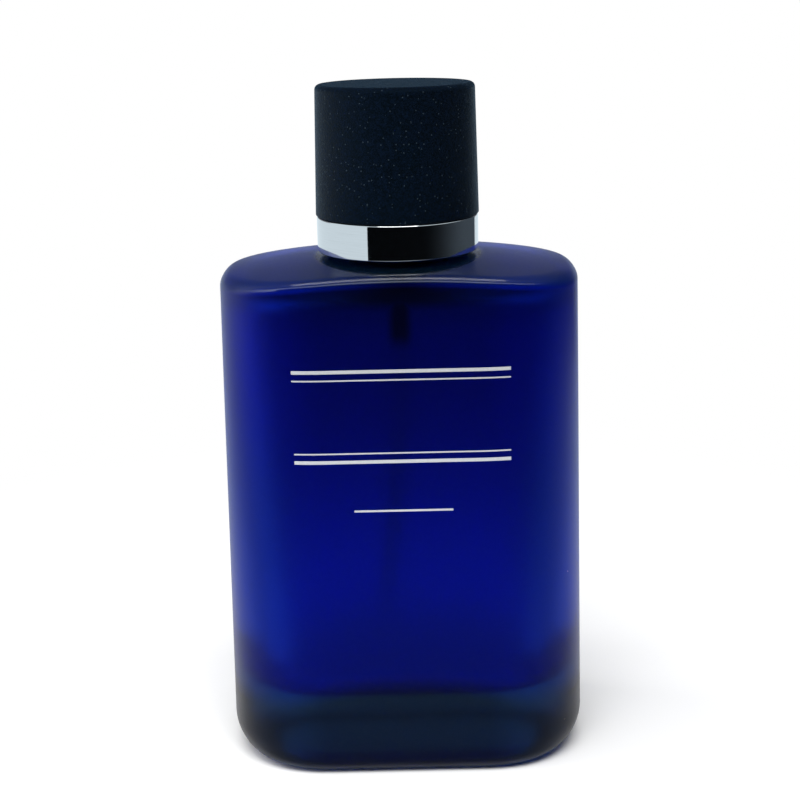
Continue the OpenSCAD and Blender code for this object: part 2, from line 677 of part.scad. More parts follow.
module cap_liner() {
    function liner_out(z) = shell_in(z) - snap_fit;
    roof_z = liner_top_z - liner_roof_t;
    rib_z = liner_z + 0.5;
    rib_h = plug_h - 1;
    color([0.16, 0.16, 0.18])
    union() {
        rotate_extrude() polygon([
            [liner_out(liner_z) - liner_t, liner_z], [liner_out(liner_z), liner_z],
            [liner_out(liner_top_z), liner_top_z], [0, liner_top_z], [0, roof_z],
            [liner_out(roof_z) - liner_t, roof_z]]);
        // grip ribs that ride on the collar plug
        for (i = [0:grip_ribs - 1]) rotate(360 * (i + 0.5) / grip_ribs)
            translate([plug_r + grip_fit, -0.4, rib_z])
                cube([liner_out(rib_z + rib_h) - liner_t / 2 - plug_r - grip_fit, 0.8, rib_h]);
    }
}

module cap_weight()
    color("slategray") tube(1.5, shell_in(weight_top_z) - snap_fit, liner_top_z, weight_top_z);

bottle_glass();
neck_gasket();
crimp_ferrule();
pump_housing();
pump_turret();
stem_gasket();
inlet_ball();
dip_tube();
return_spring();
pump_stem();
valve_needle();
stem_spring();
pump_piston();
collar_insert();
collar_ring();
actuator();
actuator_sleeve();
nozzle_insert();
cap_shell();
cap_liner();
cap_weight();
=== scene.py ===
import bpy, bmesh, math
from mathutils import Matrix, Vector


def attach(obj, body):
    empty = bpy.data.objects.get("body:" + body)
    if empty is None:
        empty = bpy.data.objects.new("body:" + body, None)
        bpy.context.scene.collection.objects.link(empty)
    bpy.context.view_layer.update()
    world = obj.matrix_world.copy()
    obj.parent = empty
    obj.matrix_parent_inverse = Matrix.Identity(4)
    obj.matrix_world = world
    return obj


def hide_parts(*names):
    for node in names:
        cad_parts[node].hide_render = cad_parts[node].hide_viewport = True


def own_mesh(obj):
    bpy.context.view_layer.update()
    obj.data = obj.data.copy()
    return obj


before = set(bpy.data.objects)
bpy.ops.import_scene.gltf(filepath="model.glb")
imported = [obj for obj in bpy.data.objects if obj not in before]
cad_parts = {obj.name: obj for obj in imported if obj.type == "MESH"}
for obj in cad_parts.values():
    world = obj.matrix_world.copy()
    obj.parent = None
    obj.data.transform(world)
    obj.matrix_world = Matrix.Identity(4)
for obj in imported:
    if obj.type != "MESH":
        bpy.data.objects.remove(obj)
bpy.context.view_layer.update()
scene = bpy.context.scene
scene.view_settings.view_transform = "Standard"
mm = 0.001  # meshes are drawn in millimetres and scaled once, when they are finished

view = {"lens": 63.74, "sensor": 36, "shiftY": -0.0849,
        "place": (0.00, -247.53, 136.78), "tiltDown": 0.2354, "roll": -0.0220}

cameraData = bpy.data.cameras.new("viewCamera")
cameraData.lens = view["lens"]
cameraData.sensor_width = view["sensor"]
cameraData.shift_y = view["shiftY"]
cameraData.clip_start = 0.01
cameraData.clip_end = 50
camera = bpy.data.objects.new("viewCamera", cameraData)
scene.collection.objects.link(camera)
camera.matrix_world = (Matrix.Translation(Vector(view["place"]) * mm)
                       @ Matrix.Rotation(math.pi / 2 - view["tiltDown"], 4, "X")
                       @ Matrix.Rotation(view["roll"], 4, "Z"))
scene.camera = camera
print("camera set")


# shared node groups and a short way to place them

def newGroup(name, inputs, outputs):
    tree = bpy.data.node_groups.new(name, "ShaderNodeTree")
    for label, value in inputs.items():
        socket = tree.interface.new_socket(name=label, in_out="INPUT", socket_type="NodeSocketFloat")
        socket.default_value = value
    for label in outputs:
        tree.interface.new_socket(name=label, in_out="OUTPUT", socket_type="NodeSocketFloat")
    return tree, tree.nodes.new("NodeGroupInput"), tree.nodes.new("NodeGroupOutput")


def addNode(tree, kind, settings=None, values=None):
    node = tree.nodes.new(kind)
    for label, value in (settings or {}).items():
        setattr(node, label, value)
    for label, value in (values or {}).items():
        node.inputs[label].default_value = value
    return node


def mathNode(tree, operation, first, second=None, third=None):
    node = addNode(tree, "ShaderNodeMath", {"operation": operation})
    for socket, value in zip(node.inputs, (first, second, third)):
        if value is None:
            continue
        if isinstance(value, (int, float)):
            socket.default_value = value
        else:
            tree.links.new(value, socket)
    return node.outputs[0]


def spread(tree, value, low, high, toLow=0.0, toHigh=1.0, smooth=False):
    node = addNode(tree, "ShaderNodeMapRange", {"interpolation_type": "SMOOTHSTEP" if smooth else "LINEAR"})
    tree.links.new(value, node.inputs["Value"])
    for label, number in zip(("From Min", "From Max", "To Min", "To Max"), (low, high, toLow, toHigh)):
        node.inputs[label].default_value = number
    return node.outputs["Result"]


def bandOf(tree, halfWidth, foot, height, middle, depth=1.0):
    across = spread(tree, mathNode(tree, "ABSOLUTE", middle), *halfWidth, toHigh=depth, smooth=True)
    return mathNode(tree, "MULTIPLY", across, spread(tree, height, *foot, smooth=True))


def objectPlace(tree):
    split = addNode(tree, "ShaderNodeSeparateXYZ")
    tree.links.new(addNode(tree, "ShaderNodeTexCoord").outputs["Object"], split.inputs[0])
    return split


def makeGrain():
    tree, given, result = newGroup("mouldedGrain", {"Size": 0.3}, ("Height",))
    place = addNode(tree, "ShaderNodeTexCoord").outputs["Object"]
    scale = mathNode(tree, "DIVIDE", 1 / mm, given.outputs["Size"])
    heights = []
    for share, detail in ((1.0, 2.0), (0.37, 1.0)):
        noise = addNode(tree, "ShaderNodeTexNoise", values={"Detail": detail, "Roughness": 0.6})
        tree.links.new(place, noise.inputs["Vector"])
        tree.links.new(mathNode(tree, "MULTIPLY", scale, share), noise.inputs["Scale"])
        heights.append(noise.outputs[0])
    mixed = mathNode(tree, "ADD", mathNode(tree, "MULTIPLY", heights[0], 0.7),
                     mathNode(tree, "MULTIPLY", heights[1], 0.3))
    tree.links.new(mixed, result.inputs["Height"])
    return tree


def makeSpecks():
    tree, given, result = newGroup("dustSpecks", {"Spacing": 6.0, "Size": 0.06, "Share": 0.3}, ("Mask",))
    place = addNode(tree, "ShaderNodeTexCoord").outputs["Object"]
    cells = addNode(tree, "ShaderNodeTexVoronoi", values={"Randomness": 1.0})
    tree.links.new(place, cells.inputs["Vector"])
    tree.links.new(mathNode(tree, "DIVIDE", 1 / mm, given.outputs["Spacing"]), cells.inputs["Scale"])
    split = addNode(tree, "ShaderNodeSeparateColor")
    tree.links.new(cells.outputs["Color"], split.inputs["Color"])
    reach = mathNode(tree, "DIVIDE", given.outputs["Size"], given.outputs["Spacing"])
    near = mathNode(tree, "LESS_THAN", cells.outputs["Distance"], reach)
    chosen = mathNode(tree, "LESS_THAN", split.outputs[0], given.outputs["Share"])
    tree.links.new(mathNode(tree, "MULTIPLY", near, chosen), result.inputs["Mask"])
    return tree


def makeScuffs():
    tree, given, result = newGroup("fineScuffs", {"Size": 8.0, "Stretch": 40.0}, ("Mask",))
    split = objectPlace(tree)
    joined = addNode(tree, "ShaderNodeCombineXYZ")
    tree.links.new(split.outputs["X"], joined.inputs["X"])
    tree.links.new(split.outputs["Y"], joined.inputs["Y"])
    stretched = mathNode(tree, "MULTIPLY", split.outputs["Z"], given.outputs["Stretch"])
    tree.links.new(stretched, joined.inputs["Z"])
    noise = addNode(tree, "ShaderNodeTexNoise", values={"Detail": 4.0, "Roughness": 0.7})
    tree.links.new(joined.outputs[0], noise.inputs["Vector"])
    tree.links.new(mathNode(tree, "DIVIDE", 1 / mm, given.outputs["Size"]), noise.inputs["Scale"])
    tree.links.new(spread(tree, noise.outputs[0], 0.45, 0.75), result.inputs["Mask"])
    return tree


mouldedGrain = makeGrain()
dustSpecks = makeSpecks()
fineScuffs = makeScuffs()


def newMaterial(name, finish):
    material = bpy.data.materials.new(name)
    material.use_nodes = True
    tree = material.node_tree
    shader = next(n for n in tree.nodes if n.type == "BSDF_PRINCIPLED")
    for label, value in finish.items():
        shader.inputs[label].default_value = value
    return material, tree, shader


def placeGroup(tree, group, **values):
    node = addNode(tree, "ShaderNodeGroup", {"node_tree": group})
    for label, value in values.items():
        node.inputs[label].default_value = value
    return node


def addBump(tree, shader, height, depth, strength=1.0):
    bump = addNode(tree, "ShaderNodeBump", values={"Strength": strength, "Distance": depth * mm})
    tree.links.new(height, bump.inputs["Height"])
    tree.links.new(bump.outputs["Normal"], shader.inputs["Normal"])


def mixColors(tree, share, first, second):
    node = addNode(tree, "ShaderNodeMix", {"data_type": "RGBA"})
    for socket, value in zip((node.inputs[6], node.inputs[7]), (first, second)):
        if isinstance(value, tuple):
            socket.default_value = (*value, 1)
        else:
            tree.links.new(value, socket)
    tree.links.new(share, node.inputs[0])
    return node.outputs[2]


def plainFinish(name, color, roughness, metallic=0.0, grainSize=0.4, grainDepth=0.01, tone=0.25, extra=None):
    finish = {"Metallic": metallic, **(extra or {})}
    material, tree, shader = newMaterial(name, finish)
    grain = placeGroup(tree, mouldedGrain, Size=grainSize)
    darker = tuple(c * (1 - tone) for c in color)
    tree.links.new(mixColors(tree, grain.outputs["Height"], darker, color), shader.inputs["Base Color"])
    rough = spread(tree, grain.outputs["Height"], 0.2, 0.8, roughness * 0.85, min(1, roughness * 1.15))
    tree.links.new(rough, shader.inputs["Roughness"])
    addBump(tree, shader, grain.outputs["Height"], grainDepth)
    return material


# the finishes of this flask

# where the glass changes tone, in metres: a bow is how fast a boundary climbs or drops toward the ends,
# and a depth is how much of a tone is laid on
glassMarks = {
    "body": (0.03, 0.075), "foot": (0.015, 0.0205), "footBow": 7.0, "bowEnd": 0.00045,
    "footEnds": (0.014, 0.022), "shadedFootTips": (0.0255, 0.0305),
    "sides": (0.017, 0.026), "sideTop": (0.045, 0.08), "sideDepth": 0.5,
    "upperMiddle": 0.021, "paintedSideLight": (0.008, 0.001), "upperFoot": (0.05, 0.075), "upperDepth": 0.4,
    "collarReach": (0.0186, 0.0166), "collarOval": 1.2, "collarSmooth": 0.5, "crown": (0.088, 0.09),
    "lens": (0.0848, 0.0872), "lensBow": -2.6, "lensDepth": 0.9,
    "pumpHalf": (0.0026, 0.0006), "pumpFoot": (0.078, 0.0815), "pumpDepth": 0.85,
    "edgeBow": 2.52, "belowEdge": (0.0898, 0.089), "crownShade": (0.0896, 0.0908), "crownDepth": 0.5,
    "edgeLines": (((0.0899, 0.0901), (0.09045, 0.09025), 1.0),
                  ((0.0905, 0.09065), (0.0909, 0.09075), 0.12)), "lineEnds": (0.028, 0.02),
    "frosting": (0.32, 0.42)}

# a pair is mixed by the grain
glassTones = {
    "low": ((0.0008, 0.028, 0.47), (0.0014, 0.038, 0.58)),
    "high": ((0.0006, 0.009, 0.42), (0.001, 0.014, 0.52)),
    "foot": ((0.005, 0.021, 0.054), (0.009, 0.03, 0.068)),
    # the bright blue tone up the ends is painted light passing in from the sides
    # the dark tone on the lower ends is painted shade
    "sides": (0.0005, 0.022, 0.2), "paintedSideLight": (0.0008, 0.012, 0.95),
    # the darkest foot tone is painted shade at the far ends of the foot
    "footEnds": (0.01, 0.042, 0.12), "shadedFootTips": (0.001, 0.004, 0.012),
    # the tone over the liquid is painted shade over the headspace and the pump
    # the tone round the neck is painted shade under the collar
    "collarShade": (0.0003, 0.0004, 0.002), "headspaceShade": (0.0004, 0.0015, 0.02),
    "crown": (0.015, 0.09, 0.17), "specks": (0.5, 0.55, 0.6)}


def makeFrostedGlass():
    material, tree, shader = newMaterial("frostedGlass", {
        "IOR": 1.4, "Transmission Weight": 0.94, "Coat Roughness": 0.1, "Coat IOR": 2.1,
        "Specular Tint": (0.05, 0.06, 0.12, 1)})
    marks, tones = glassMarks, glassTones
    grain = placeGroup(tree, mouldedGrain, Size=0.35)
    specks = placeGroup(tree, dustSpecks, Spacing=7.0, Size=0.12, Share=0.25)
    split = objectPlace(tree)
    across, height = split.outputs["X"], split.outputs["Z"]
    squared = mathNode(tree, "MULTIPLY", across, across)

    # blue body over a dark, thick foot
    bowed = mathNode(tree, "MULTIPLY_ADD", mathNode(tree, "MINIMUM", squared, marks["bowEnd"]),
                     marks["footBow"], height)
    lowTone = mixColors(tree, grain.outputs["Height"], *tones["low"])
    highTone = mixColors(tree, grain.outputs["Height"], *tones["high"])
    bodyTone = mixColors(tree, spread(tree, height, *marks["body"], smooth=True), lowTone, highTone)
    away = mathNode(tree, "ABSOLUTE", across)
    # painted shade: the lower parts of the rounded ends are darkened
    sides = mathNode(tree, "MULTIPLY", spread(tree, away, *marks["sides"], smooth=True),
                     spread(tree, height, *marks["sideTop"], toLow=marks["sideDepth"], toHigh=0, smooth=True))
    bodyTone = mixColors(tree, sides, bodyTone, tones["sides"])
    # painted light: a brighter blue band up the rounded ends, for light passing in from the sides
    sideLightMask = bandOf(tree, marks["paintedSideLight"], marks["upperFoot"], height,
                   mathNode(tree, "SUBTRACT", away, marks["upperMiddle"]), marks["upperDepth"])
    bodyTone = mixColors(tree, sideLightMask, bodyTone, tones["paintedSideLight"])
    footTone = mixColors(tree, grain.outputs["Height"], *tones["foot"])
    footEnds = spread(tree, away, *marks["footEnds"], smooth=True)
    footTone = mixColors(tree, footEnds, footTone, tones["footEnds"])
    # painted shade: the far ends of the foot are darkened
    shadedFootTips = spread(tree, away, *marks["shadedFootTips"], smooth=True)
    footTone = mixColors(tree, shadedFootTips, footTone, tones["shadedFootTips"])
    tone = mixColors(tree, spread(tree, bowed, *marks["foot"], smooth=True), footTone, bodyTone)

    # painted shade round the neck, under the collar, where the collar and the pump stand behind the glass
    flat = addNode(tree, "ShaderNodeCombineXYZ")
    tree.links.new(mathNode(tree, "MULTIPLY", across, marks["collarOval"]), flat.inputs["X"])
    tree.links.new(split.outputs["Y"], flat.inputs["Y"])
    reach = addNode(tree, "ShaderNodeVectorMath", {"operation": "LENGTH"})
    tree.links.new(flat.outputs[0], reach.inputs[0])
    collarShade = mathNode(tree, "MULTIPLY",
                           spread(tree, reach.outputs["Value"], *marks["collarReach"], smooth=True),
                           spread(tree, height, *marks["crown"], smooth=True))
    tone = mixColors(tree, collarShade, tone, tones["collarShade"])

    # painted shade over the empty space above the liquid, and on the pump body that hangs in it
    sagged = mathNode(tree, "MULTIPLY_ADD", squared, marks["lensBow"], height)
    pumpShade = bandOf(tree, marks["pumpHalf"], marks["pumpFoot"], height, across, marks["pumpDepth"])
    lens = spread(tree, sagged, *marks["lens"], toHigh=marks["lensDepth"], smooth=True)
    arched = mathNode(tree, "MULTIPLY_ADD", squared, marks["edgeBow"], height)
    headspaceShade = mathNode(tree, "MULTIPLY", mathNode(tree, "MAXIMUM", lens, pumpShade),
                         spread(tree, arched, *marks["belowEdge"], smooth=True))
    tone = mixColors(tree, headspaceShade, tone, tones["headspaceShade"])

    crownShade = spread(tree, arched, *marks["crownShade"], toHigh=marks["crownDepth"], smooth=True)
    tone = mixColors(tree, crownShade, tone, tones["crown"])

    # two fine lines of shine along the shoulder edge, gone before they reach the ends
    lines = [mathNode(tree, "MULTIPLY", spread(tree, arched, *rise, toHigh=weight, smooth=True),
                      spread(tree, arched, *fall, smooth=True)) for rise, fall, weight in marks["edgeLines"]]
    shine = mathNode(tree, "MULTIPLY", mathNode(tree, "MAXIMUM", *lines),
                     spread(tree, away, *marks["lineEnds"], smooth=True))
    tree.links.new(shine, shader.inputs["Coat Weight"])
    tone = mixColors(tree, specks.outputs["Mask"], tone, tones["specks"])
    tree.links.new(tone, shader.inputs["Base Color"])
    frosting = spread(tree, grain.outputs["Height"], 0.2, 0.8, *marks["frosting"])
    smoother = spread(tree, collarShade, 0, 1, 1, marks["collarSmooth"])
    tree.links.new(mathNode(tree, "MULTIPLY", frosting, smoother), shader.inputs["Roughness"])
    addBump(tree, shader, grain.outputs["Height"], 0.01)
    return material


innerMarks = {"fill": (0.008, 0.078), "surface": (0.078, 0.086), "tubeTop": 0.08, "tubeBend": -1.7,
              "tubeHalf": (0.0022, 0.0004), "tubeFoot": (0.02, 0.05), "tubeDepth": 0.35,
              "pumpHalf": (0.003, 0.001), "pumpFoot": (0.0775, 0.081)}
# the empty tone is painted shade, laid above the liquid and over the pump and dip tube
innerTones = {"low": ((0.0008, 0.015, 0.68), (0.0014, 0.02, 0.78)),
              "high": ((0.0003, 0.0008, 0.1), (0.0005, 0.0014, 0.135)),
              "empty": ((0.0002, 0.0006, 0.012), (0.0003, 0.001, 0.02))}


def makeInnerBlue():
    material, tree, shader = newMaterial("innerBlue", {
        "IOR": 1.5, "Transmission Weight": 0.7, "Roughness": 0.5, "Specular Tint": (0.05, 0.08, 0.2, 1)})
    marks = innerMarks
    grain = placeGroup(tree, mouldedGrain, Size=2.0)
    split = objectPlace(tree)
    across, height = split.outputs["X"], split.outputs["Z"]
    low, high, empty = (mixColors(tree, grain.outputs["Height"], *innerTones[name])
                        for name in ("low", "high", "empty"))
    filled = mixColors(tree, spread(tree, height, *marks["fill"], smooth=True), low, high)

    # painted shade of the pump body and the curved dip tube, faint through the wall
    lower = mathNode(tree, "SUBTRACT", marks["tubeTop"], height)
    bend = mathNode(tree, "MULTIPLY", mathNode(tree, "MULTIPLY", lower, lower), marks["tubeBend"])
    aside = mathNode(tree, "SUBTRACT", across, bend)
    tube = bandOf(tree, marks["tubeHalf"], marks["tubeFoot"], height, aside, marks["tubeDepth"])
    pump = bandOf(tree, marks["pumpHalf"], marks["pumpFoot"], height, across)
    fillWithPumpShade = mixColors(tree, mathNode(tree, "MAXIMUM", tube, pump), filled, empty)
    # painted shade above the liquid surface
    tree.links.new(mixColors(tree, spread(tree, height, *marks["surface"], smooth=True), fillWithPumpShade, empty),
                   shader.inputs["Base Color"])
    return material


capFinish = {"tones": ((0.0001, 0.0003, 0.001), (0.001, 0.0032, 0.011)), "specks": (0.02, 0.03, 0.04),
             "flatTop": (0.1206, 0.1216), "topRoughness": 0.4, "roughness": (0.5, 0.7)}


def makeMattBlack():
    material, tree, shader = newMaterial("softTouchBlack", {
        "Specular IOR Level": 0.15, "Specular Tint": (0.22, 0.52, 0.85, 1),
        "Sheen Weight": 0.1, "Sheen Roughness": 0.3, "Sheen Tint": (0.3, 0.65, 1, 1)})
    grain = placeGroup(tree, mouldedGrain, Size=0.28)
    specks = placeGroup(tree, dustSpecks, Spacing=0.42, Size=0.12, Share=0.12)
    tone = mixColors(tree, spread(tree, grain.outputs["Height"], 0.42, 0.66), *capFinish["tones"])
    tone = mixColors(tree, specks.outputs["Mask"], tone, capFinish["specks"])
    tree.links.new(tone, shader.inputs["Base Color"])
    onTop = spread(tree, objectPlace(tree).outputs["Z"], *capFinish["flatTop"],
                   toHigh=capFinish["topRoughness"], smooth=True)
    rough = spread(tree, grain.outputs["Height"], 0.3, 0.75, *capFinish["roughness"])
    tree.links.new(mathNode(tree, "ADD", rough, onTop), shader.inputs["Roughness"])
    addBump(tree, shader, grain.outputs["Height"], 0.09)
    return material


def makeChrome():
    material, tree, shader = newMaterial("polishedChrome", {"Metallic": 1.0})
    scuffs = placeGroup(tree, fineScuffs, Size=6.0, Stretch=30.0)
    tree.links.new(mixColors(tree, scuffs.outputs["Mask"], (0.68, 0.68, 0.69), (0.64, 0.64, 0.65)),
                   shader.inputs["Base Color"])
    tree.links.new(spread(tree, scuffs.outputs["Mask"], 0, 1, 0.03, 0.07), shader.inputs["Roughness"])
    addBump(tree, shader, scuffs.outputs["Mask"], 0.0002)
    return material


frostedGlass = makeFrostedGlass()
innerBlue = makeInnerBlue()
softTouchBlack = makeMattBlack()
polishedChrome = makeChrome()
silverFoil = plainFinish("silverFoil", (0.82, 0.83, 0.85), 0.35, metallic=0.45, grainSize=0.5, tone=0.25)
print("finishes made")


# mesh helpers

def finishPiece(bm, name, body, materials, replaced=(), sharpAngle=38,
                evenNormals=False):
    bmesh.ops.remove_doubles(bm, verts=bm.verts, dist=1e-4)
    bmesh.ops.recalc_face_normals(bm, faces=bm.faces)
    bmesh.ops.scale(bm, vec=(mm, mm, mm), verts=bm.verts)
    mesh = bpy.data.meshes.new(name)
    bm.to_mesh(mesh)
    bm.free()
    mesh.shade_smooth()
    mesh.set_sharp_from_angle(angle=math.radians(sharpAngle))
    for material in materials:
        mesh.materials.append(material)
    piece = bpy.data.objects.new(name, mesh)
    scene.collection.objects.link(piece)
    if evenNormals:
        piece.modifiers.new("evenNormals", "WEIGHTED_NORMAL").keep_sharp = True
    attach(piece, body)
    if replaced:
        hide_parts(*replaced)
    return piece


def turned(points, rounds, steps=192, segments=4):
    # a ring or disc turned from the corners of its section; rounds gives some corners a radius
    bm = bmesh.new()
    corners = [bm.verts.new((r, 0, z)) for r, z in points]
    bm.faces.new(corners)
    for index, radius in rounds.items():
        bmesh.ops.bevel(bm, geom=[corners[index]], offset=radius, offset_type="OFFSET", affect="VERTICES",
                        segments=segments, profile=0.5, material=-1)
    bmesh.ops.delete(bm, geom=bm.faces[:], context="FACES_ONLY")
    onAxis = [e for e in bm.edges if all(abs(v.co.x) < 1e-6 for v in e.verts)]
    bmesh.ops.delete(bm, geom=onAxis, context="EDGES")
    bmesh.ops.spin(bm, geom=bm.verts[:] + bm.edges[:], cent=(0, 0, 0), axis=(0, 0, 1), dvec=(0, 0, 0),
                   angle=2 * math.pi, steps=steps, use_merge=True)
    return bm


# flask: one closed skin from the foot over the shoulder and neck, down the bore and round the hollow

flask = {"halfWidth": 31.5, "halfDepth": 18, "footGain": 2.3, "shoulder": 89.9, "arch": 2.5, "crown": 1.3,
         "edgeRadius": 2.4, "faceRadius": 1.5, "faceReach": (18, 29), "endLength": 19.7, "endPower": 2.6,
         "endHeel": 6.6, "faceHeel": 2.6,
         "wall": 3.7, "footThick": 13, "underShoulder": 4.2, "punt": 0.8, "footRing": 4,
         "floorRadius": 4, "innerShoulderRadius": 3, "flare": 0.8,
         "neckRadius": 6.65, "beadRadius": 7.5, "beadHeight": 2.6, "neckHeight": 4.8, "bore": 4.85,
         "finishEdge": 0.5, "endPoints": 40, "facePoints": 24}
crest = flask["shoulder"] + flask["arch"]
finishTop = crest + flask["neckHeight"]


def outlineRing(halfWidth, halfDepth, endLength):
    power = 2 / flask["endPower"]
    length = min(endLength, halfWidth)
    straight = halfWidth - length
    spots = []
    for side in (1, -1):
        for i in range(2 * flask["endPoints"] + 1):
            angle = math.pi * (i / (2 * flask["endPoints"]) - 0.5)
            c, s = max(0.0, math.cos(angle)), math.sin(angle)
            spots.append((side * (straight + length * c ** power),
                          side * halfDepth * math.copysign(abs(s) ** power, s)))
        for j in range(1, flask["facePoints"]):
            share = 1 - 2 * j / flask["facePoints"]
            spots.append((side * straight * share, side * halfDepth))
    return spots


def shoulderHeight(x, y):
    return (crest - flask["arch"] * (x / flask["halfWidth"]) ** 2
            - flask["crown"] * (y / flask["halfDepth"]) ** 2)


def halfWidthAt(z):
    return flask["halfWidth"] + flask["footGain"] / 2 * (1 - z / flask["shoulder"])


def insetRing(z, inset):
    return [(x, y, z) for x, y in outlineRing(halfWidthAt(0) - flask["endHeel"] - inset,
            flask["halfDepth"] - flask["faceHeel"] - inset, flask["endLength"] - flask["endHeel"] - inset)]


def wallRing(z):
    def drawnIn(r):
        return 0 if z >= r else r - math.sqrt(r * r - (r - z) ** 2)
    end, face = drawnIn(flask["endHeel"]), drawnIn(flask["faceHeel"])
    return [(x, y, z) for x, y in outlineRing(halfWidthAt(z) - end, flask["halfDepth"] - face,
                                              flask["endLength"] - end)]


def rimRing(inset, radius, drop, angle, faceRadius=None):
    # along the two faces the rim may be tighter than round the ends
    outer, inner = (outlineRing(flask["halfWidth"] - i, flask["halfDepth"] - i, flask["endLength"] - i)
                    for i in (inset, inset + 1))
    near, far = flask["faceReach"]
    ring = []
    for (x, y), (innerX, innerY) in zip(outer, inner):
        share = 1 if faceRadius is None else min(1, max(0, (abs(x) - near) / (far - near)))
        r = radius if faceRadius is None else faceRadius + (radius - faceRadius) * share
        x += (innerX - x) * r * (1 - math.cos(angle))
        y += (innerY - y) * r * (1 - math.cos(angle))
        ring.append((x, y, shoulderHeight(x, y) - drop - r * (1 - math.sin(angle))))
    return ring


def crownRing(inset, drop, neck, share):
    rim = outlineRing(flask["halfWidth"] - inset, flask["halfDepth"] - inset, flask["endLength"] - inset)
    lift = flask["flare"] * max(0, 3 * share - 2) ** 2
    spots = []
    for x, y in rim:
        angle = math.atan2(y, x)
        px = x * (1 - share) + neck * math.cos(angle) * share
        py = y * (1 - share) + neck * math.sin(angle) * share
        spots.append((px, py, shoulderHeight(px, py) - drop + lift))
    return spots


def roundRing(radius, z):
    rim = outlineRing(flask["halfWidth"], flask["halfDepth"], flask["endLength"])
    return [(radius * math.cos(math.atan2(y, x)), radius * math.sin(math.atan2(y, x)), z) for x, y in rim]


def floorRing(angle):
    i = flask["floorRadius"] * (1 - math.sin(angle))
    z = flask["footThick"] + flask["floorRadius"] * (1 - math.cos(angle))
    wall = flask["wall"]
    return [(x, y, z) for x, y in outlineRing(flask["halfWidth"] - wall - i, flask["halfDepth"] - wall - i,
                                              flask["endLength"] - wall - i)]


def arc(low, high, count):
    return [math.radians(low + (high - low) * i / count) for i in range(count + 1)]


def outerRings():
    heel, ring, rim = flask["endHeel"], flask["footRing"], flask["edgeRadius"]
    punt = flask["punt"]
    rings = [insetRing(punt, ring + 4 * punt), insetRing(punt, ring + 3 * punt),
             insetRing(punt / 2, ring + 1.5 * punt), insetRing(0, ring), insetRing(0, 0.4)]
    rings += [wallRing(heel * (1 - math.cos(a))) for a in arc(4, 90, 14)]
    rings += [wallRing(z) for z in (20, 45, 70)]
    rings += [rimRing(0, rim, 0, a, flask["faceRadius"]) for a in arc(0, 90, 12)]
    rings += [crownRing(rim, 0, flask["neckRadius"], k / 14) for k in range(1, 15)]
    bead, neck, edge = flask["beadRadius"], flask["neckRadius"], flask["finishEdge"]
    beadLow = finishTop - flask["beadHeight"]
    rings += [roundRing(neck, beadLow - (bead - neck)), roundRing(bead, beadLow)]
    rings += [roundRing(bead - edge * (1 - math.cos(a)), finishTop - edge * (1 - math.sin(a)))
              for a in arc(0, 90, 4)]
    return rings


def hollowRings():
    wall, radius, drop = flask["wall"], flask["innerShoulderRadius"], flask["underShoulder"]
    rings = [roundRing(flask["bore"], finishTop), roundRing(flask["bore"], crest - drop + flask["flare"])]
    rings += [crownRing(wall + radius, drop, flask["bore"], k / 12) for k in range(11, 0, -1)]
    rings += [rimRing(wall, radius, drop, a) for a in arc(90, 0, 8)]
    rings += [floorRing(a) for a in arc(0, 90, 8)]
    return rings


def addRing(bm, ring, spots, materialIndex):
    edges = [bm.edges.get(pair) for pair in zip(ring, ring[1:] + ring[:1])]
    made = bmesh.ops.extrude_edge_only(bm, edges=edges)["geom"]
    fresh = {v for v in made if isinstance(v, bmesh.types.BMVert)}
    for face in (f for f in made if isinstance(f, bmesh.types.BMFace)):
        face.material_index = materialIndex
    following = [next(e.other_vert(v) for e in v.link_edges if e.other_vert(v) in fresh) for v in ring]
    for vert, spot in zip(following, spots):
        vert.co = spot
    return following


def drawFlask():
    bm = bmesh.new()
    outer, hollow = outerRings(), hollowRings()
    bmesh.ops.create_circle(bm, cap_ends=True, radius=1, segments=len(outer[0]))
    bm.verts.ensure_lookup_table()
    ring = bm.verts[:]
    for vert, spot in zip(ring, outer[0]):
        vert.co = spot
    for spots in outer[1:]:
        ring = addRing(bm, ring, spots, 0)
    for spots in hollow:
        ring = addRing(bm, ring, spots, 1)
    centre = addRing(bm, ring, [(x * 0.9, y * 0.9, z) for x, y, z in hollow[-1]], 1)
    bm.faces.new(centre).material_index = 1
    return bm


finishPiece(drawFlask(), "flaskGlass", "flask", [frostedGlass, innerBlue], ["bottle_glass"])
print("flask drawn")


# fine silver rules on the front face, printed where the flask is nearly flat

rules = {"lines": ((75.0, 37.0, 0.6), (73.5, 37.0, 0.25), (60.6, 37.0, 0.25), (59.1, 37.0, 0.6),
                   (50.2, 17.0, 0.35)),
         "thick": 0.03, "columns": 64}


def frontFace(x, z):
    straight = halfWidthAt(z) - flask["endLength"]
    past = max(0, abs(x) - straight) / flask["endLength"]
    return -flask["halfDepth"] * (1 - past ** flask["endPower"]) ** (1 / flask["endPower"])


def drawRules():
    bm = bmesh.new()
    for z, width, height in rules["lines"]:
        made = bmesh.ops.create_grid(bm, x_segments=rules["columns"], y_segments=1, size=0.5)["verts"]
        for vert in made:
            x, up = vert.co.x * width, z + vert.co.y * height
            vert.co = (x, frontFace(x, up) - rules["thick"], up)
    bm.normal_update()
    bmesh.ops.solidify(bm, geom=bm.faces[:], thickness=rules["thick"])
    return bm


finishPiece(drawRules(), "silverRules", "flask", [silverFoil])
print("rules drawn")


# collar ring and cap shell

collar = {"radius": 14.2, "low": 92.8, "step": 99.0, "plugRadius": 11.2, "plugTop": 105.3, "hole": 6.9,
          "metal": 0.5, "edge": 0.35, "lowEdge": 0.25, "holeEdge": 0.12}


